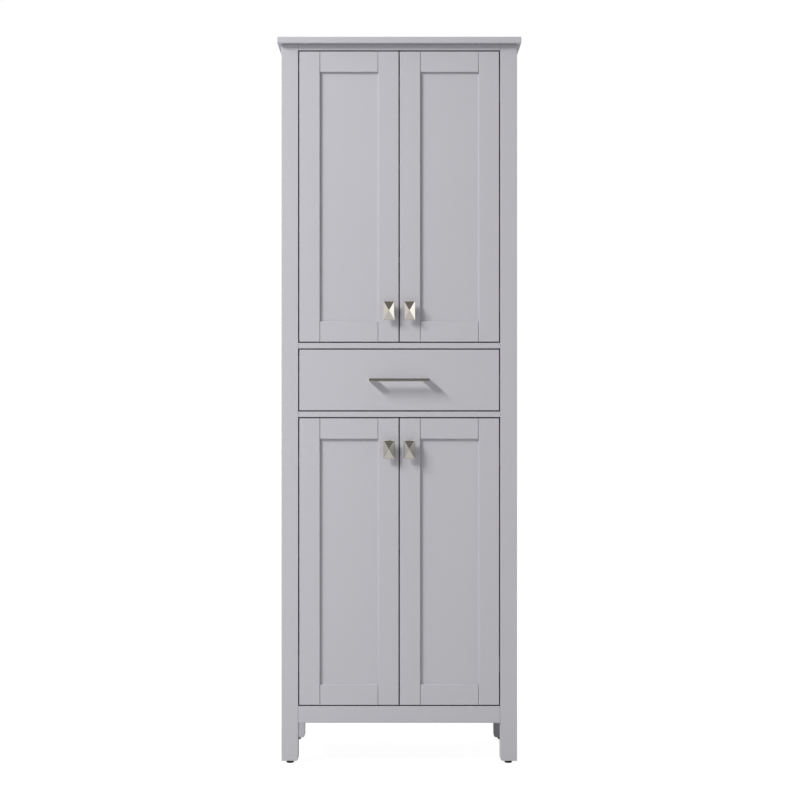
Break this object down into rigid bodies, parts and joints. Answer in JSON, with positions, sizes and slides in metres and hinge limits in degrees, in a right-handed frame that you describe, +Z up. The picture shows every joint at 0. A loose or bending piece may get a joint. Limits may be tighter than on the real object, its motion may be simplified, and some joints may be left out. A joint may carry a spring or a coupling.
{
  "type": "pantry cabinet",
  "caption": "Tall narrow painted cabinet on square legs, with framed double doors above and below a drawer, pyramid knobs and a bar handle.",
  "frame": {"origin": "on the floor, under the middle of the cabinet's box, handle included", "axes": "+Z up; the doors and the drawer face -Y; +X to the right seen from the front"},
  "size_m": [0.61, 0.42, 1.818],
  "materials": {
    "painted_wood": "satin pale grey paint over a smooth primed face",
    "painted_board": "same paint on board, a little flatter",
    "brushed_nickel": "satin nickel plate, finely brushed",
    "plated_steel": "bright zinc or nickel plated pressed steel",
    "black_nylon": "black moulded nylon"
  },
  "bodies": {
    "cabinet": {"top_board": "painted_wood", "front_left_leg": "painted_wood", "front_right_leg": "painted_wood", "rear_left_leg": "painted_wood", "rear_right_leg": "painted_wood", "left_side_panel": "painted_wood", "right_side_panel": "painted_wood", "top_rail": "painted_wood", "bottom_rail": "painted_wood", "bottom_deck": "painted_wood", "drawer_deck": "painted_wood", "upper_deck": "painted_wood", "back_panel": "painted_board", "upper_shelf_1": "painted_board", "upper_shelf_2": "painted_board", "lower_shelf": "painted_board", "front_left_glide": "black_nylon", "rear_left_glide": "black_nylon", "left_slide_cabinet_member": "plated_steel", "upper_left_door_lower_hinge_arm": "plated_steel", "upper_left_door_upper_hinge_arm": "plated_steel", "lower_left_door_lower_hinge_arm": "plated_steel", "lower_left_door_upper_hinge_arm": "plated_steel", "front_right_glide": "black_nylon", "rear_right_glide": "black_nylon", "right_slide_cabinet_member": "plated_steel", "upper_right_door_lower_hinge_arm": "plated_steel", "upper_right_door_upper_hinge_arm": "plated_steel", "lower_right_door_lower_hinge_arm": "plated_steel", "lower_right_door_upper_hinge_arm": "plated_steel"},
    "upper_left_door": {"upper_left_door_frame": "painted_wood", "upper_left_door_panel": "painted_wood", "upper_left_door_knob": "brushed_nickel", "upper_left_door_lower_hinge_cup": "plated_steel", "upper_left_door_upper_hinge_cup": "plated_steel"},
    "upper_right_door": {"upper_right_door_frame": "painted_wood", "upper_right_door_panel": "painted_wood", "upper_right_door_knob": "brushed_nickel", "upper_right_door_lower_hinge_cup": "plated_steel", "upper_right_door_upper_hinge_cup": "plated_steel"},
    "lower_left_door": {"lower_left_door_frame": "painted_wood", "lower_left_door_panel": "painted_wood", "lower_left_door_knob": "brushed_nickel", "lower_left_door_lower_hinge_cup": "plated_steel", "lower_left_door_upper_hinge_cup": "plated_steel"},
    "lower_right_door": {"lower_right_door_frame": "painted_wood", "lower_right_door_panel": "painted_wood", "lower_right_door_knob": "brushed_nickel", "lower_right_door_lower_hinge_cup": "plated_steel", "lower_right_door_upper_hinge_cup": "plated_steel"},
    "drawer": {"drawer_front": "painted_wood", "drawer_handle": "brushed_nickel", "drawer_left_side": "painted_board", "drawer_right_side": "painted_board", "drawer_back": "painted_board", "drawer_bottom": "painted_board", "left_slide_drawer_member": "plated_steel", "right_slide_drawer_member": "plated_steel"},
    "left_slide_runner": {"left_slide_middle_member": "plated_steel"},
    "right_slide_runner": {"right_slide_middle_member": "plated_steel"}
  },
  "joints": [
    {"name": "upper_left_door_hinge", "type": "hinge", "parent": "cabinet", "child": "upper_left_door", "pos_m": [-0.2515, -0.18, 1.057], "axis": [0, 0, -1], "range_deg": [0, 110]},
    {"name": "upper_right_door_hinge", "type": "hinge", "parent": "cabinet", "child": "upper_right_door", "pos_m": [0.2515, -0.18, 1.057], "axis": [0, 0, 1], "range_deg": [0, 110]},
    {"name": "lower_left_door_hinge", "type": "hinge", "parent": "cabinet", "child": "lower_left_door", "pos_m": [-0.2515, -0.18, 0.1475], "axis": [0, 0, -1], "range_deg": [0, 110]},
    {"name": "lower_right_door_hinge", "type": "hinge", "parent": "cabinet", "child": "lower_right_door", "pos_m": [0.2515, -0.18, 0.1475], "axis": [0, 0, 1], "range_deg": [0, 110]},
    {"name": "drawer_slide", "type": "slide", "parent": "cabinet", "child": "drawer", "axis": [0, -1, 0], "range_m": [0, 0.34]},
    {"name": "left_runner_slide", "type": "slide", "parent": "cabinet", "child": "left_slide_runner", "axis": [0, -1, 0], "range_m": [0, 0.17]},
    {"name": "right_runner_slide", "type": "slide", "parent": "cabinet", "child": "right_slide_runner", "axis": [0, -1, 0], "range_m": [0, 0.17]}
  ],
  "couplings": [
    {"joint": "left_runner_slide", "follows": "drawer_slide", "ratio": 0.5},
    {"joint": "right_runner_slide", "follows": "drawer_slide", "ratio": 0.5}
  ]
}
